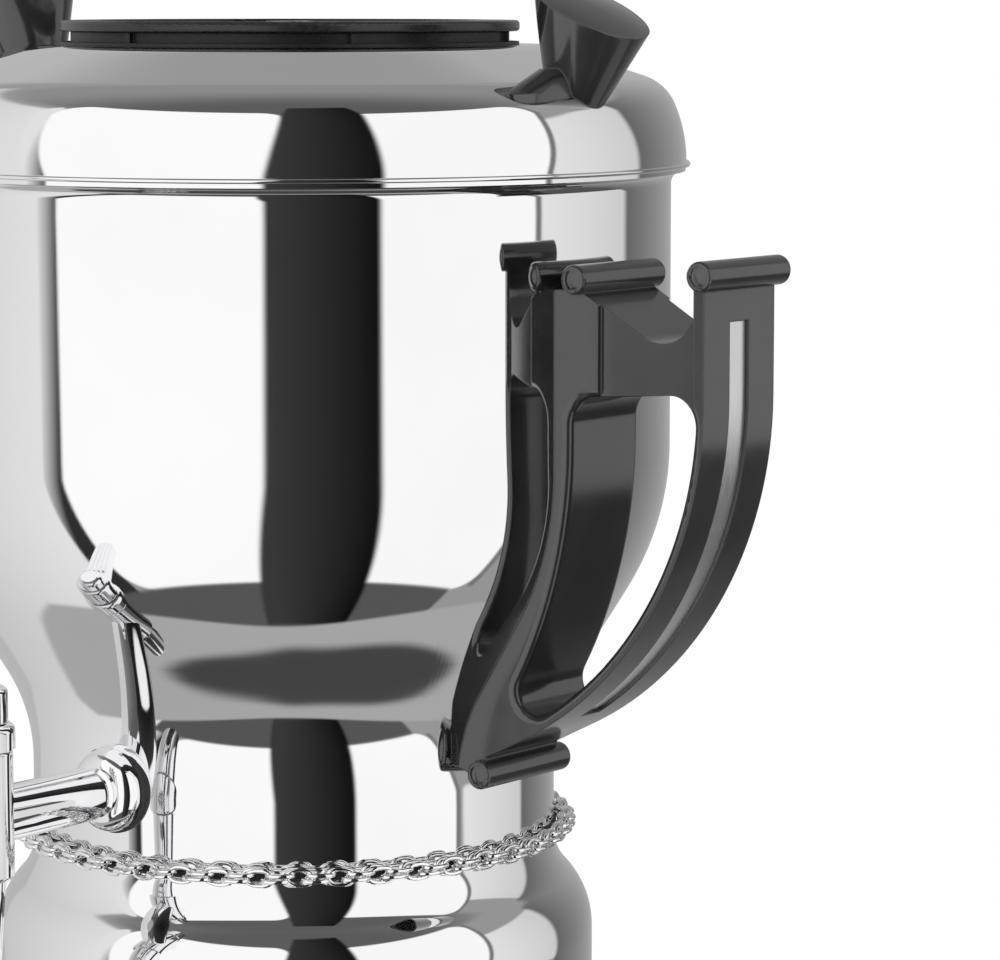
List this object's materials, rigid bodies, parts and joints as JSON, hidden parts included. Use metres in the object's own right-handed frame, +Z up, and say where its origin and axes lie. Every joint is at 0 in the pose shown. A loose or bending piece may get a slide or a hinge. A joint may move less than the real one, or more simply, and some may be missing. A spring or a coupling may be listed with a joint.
{
  "type": "samovar",
  "caption": "Electric samovar: drum-and-bowl water tank on a flared base, lift-off lid with a round teapot rest, strap handles, waist chain, lever tap, dial and switch.",
  "frame": {"origin": "centre of the foot ring's underside, on the body's axis", "axes": "+Z up along the body's axis, -Y towards the tap and the dial, +X and -X towards the handles"},
  "size_m": [0.2804, 0.2518, 0.3366],
  "materials": {
    "polished_steel": "mirror polished",
    "satin_steel": "satin",
    "chromed_metal": "polished",
    "plated_brass": "polished, chrome plated",
    "bare_brass": "machined",
    "aluminium_plate": "satin",
    "silicone": "matte",
    "black_rubber": "matte",
    "black_plastic": "satin",
    "gloss_black": "gloss",
    "black_satin": "satin",
    "white_plastic": "matte",
    "red_lens": "gloss",
    "green_lens": "gloss"
  },
  "bodies": {
    "base": {"water_tank": "polished_steel", "handle_right": "gloss_black", "handle_left": "gloss_black", "handle_inlay_right": "polished_steel", "handle_inlay_left": "polished_steel", "handle_screws": "satin_steel", "handle_seals": "silicone", "tap_gasket": "black_rubber", "tap_rosette": "chromed_metal", "tap_body": "plated_brass", "tap_bonnet": "plated_brass", "tap_inner_seal": "silicone", "tap_nut": "bare_brass", "tap_strainer": "satin_steel", "waist_chain": "chromed_metal", "base_casing": "polished_steel", "heater_plate": "aluminium_plate", "heating_element": "satin_steel", "element_ends": "satin_steel", "dry_boil_cutout": "satin_steel", "tie_rods": "satin_steel", "tie_nuts": "satin_steel", "dial_bezel": "chromed_metal", "bush_nut": "bare_brass", "thermostat": "satin_steel", "pilot_lamp_heat": "red_lens", "pilot_lamp_ready": "green_lens", "appliance_inlet": "black_plastic", "inlet_pins": "bare_brass", "switch_frame": "black_plastic", "base_pan": "black_plastic", "foot_ring": "black_rubber", "foot_screws": "satin_steel", "terminal_block": "white_plastic"},
    "lid": {"lid": "polished_steel", "lid_plug_ring": "satin_steel", "steam_collar": "black_satin", "collar_nut": "satin_steel", "regulator_pivot": "satin_steel", "lid_knob_right": "gloss_black", "lid_knob_left": "gloss_black", "lid_knob_screws": "satin_steel", "lid_knob_spacers": "satin_steel"},
    "regulator": {"teapot_rest": "black_satin"},
    "tap_key": {"tap_lever": "plated_brass", "tap_lever_cap": "plated_brass", "tap_plug": "bare_brass", "tap_plug_seals": "silicone"},
    "dial": {"thermostat_dial": "black_plastic", "thermostat_spindle": "satin_steel"},
    "rocker": {"switch_rocker": "gloss_black"}
  },
  "joints": [
    {"name": "lid_lift", "type": "slide", "parent": "base", "child": "lid", "axis": [0, 0, 1], "range_m": [0, 0.12]},
    {"name": "regulator_turn", "type": "hinge", "parent": "lid", "child": "regulator", "pos_m": [0, 0, 0.32699], "axis": [0, 0, 1], "range_deg": [0, 30]},
    {"name": "tap_turn", "type": "hinge", "parent": "base", "child": "tap_key", "pos_m": [0, -0.112, 0.16], "axis": [0, 0, 1], "range_deg": [0, 90]},
    {"name": "dial_turn", "type": "hinge", "parent": "base", "child": "dial", "pos_m": [0, -0.0782, 0.07], "axis": [0, 1, 0], "range_deg": [0, 270]},
    {"name": "rocker_press", "type": "hinge", "parent": "base", "child": "rocker", "pos_m": [0, 0.0718, 0.086], "axis": [1, 0, 0], "range_deg": [-18, 0]}
  ]
}
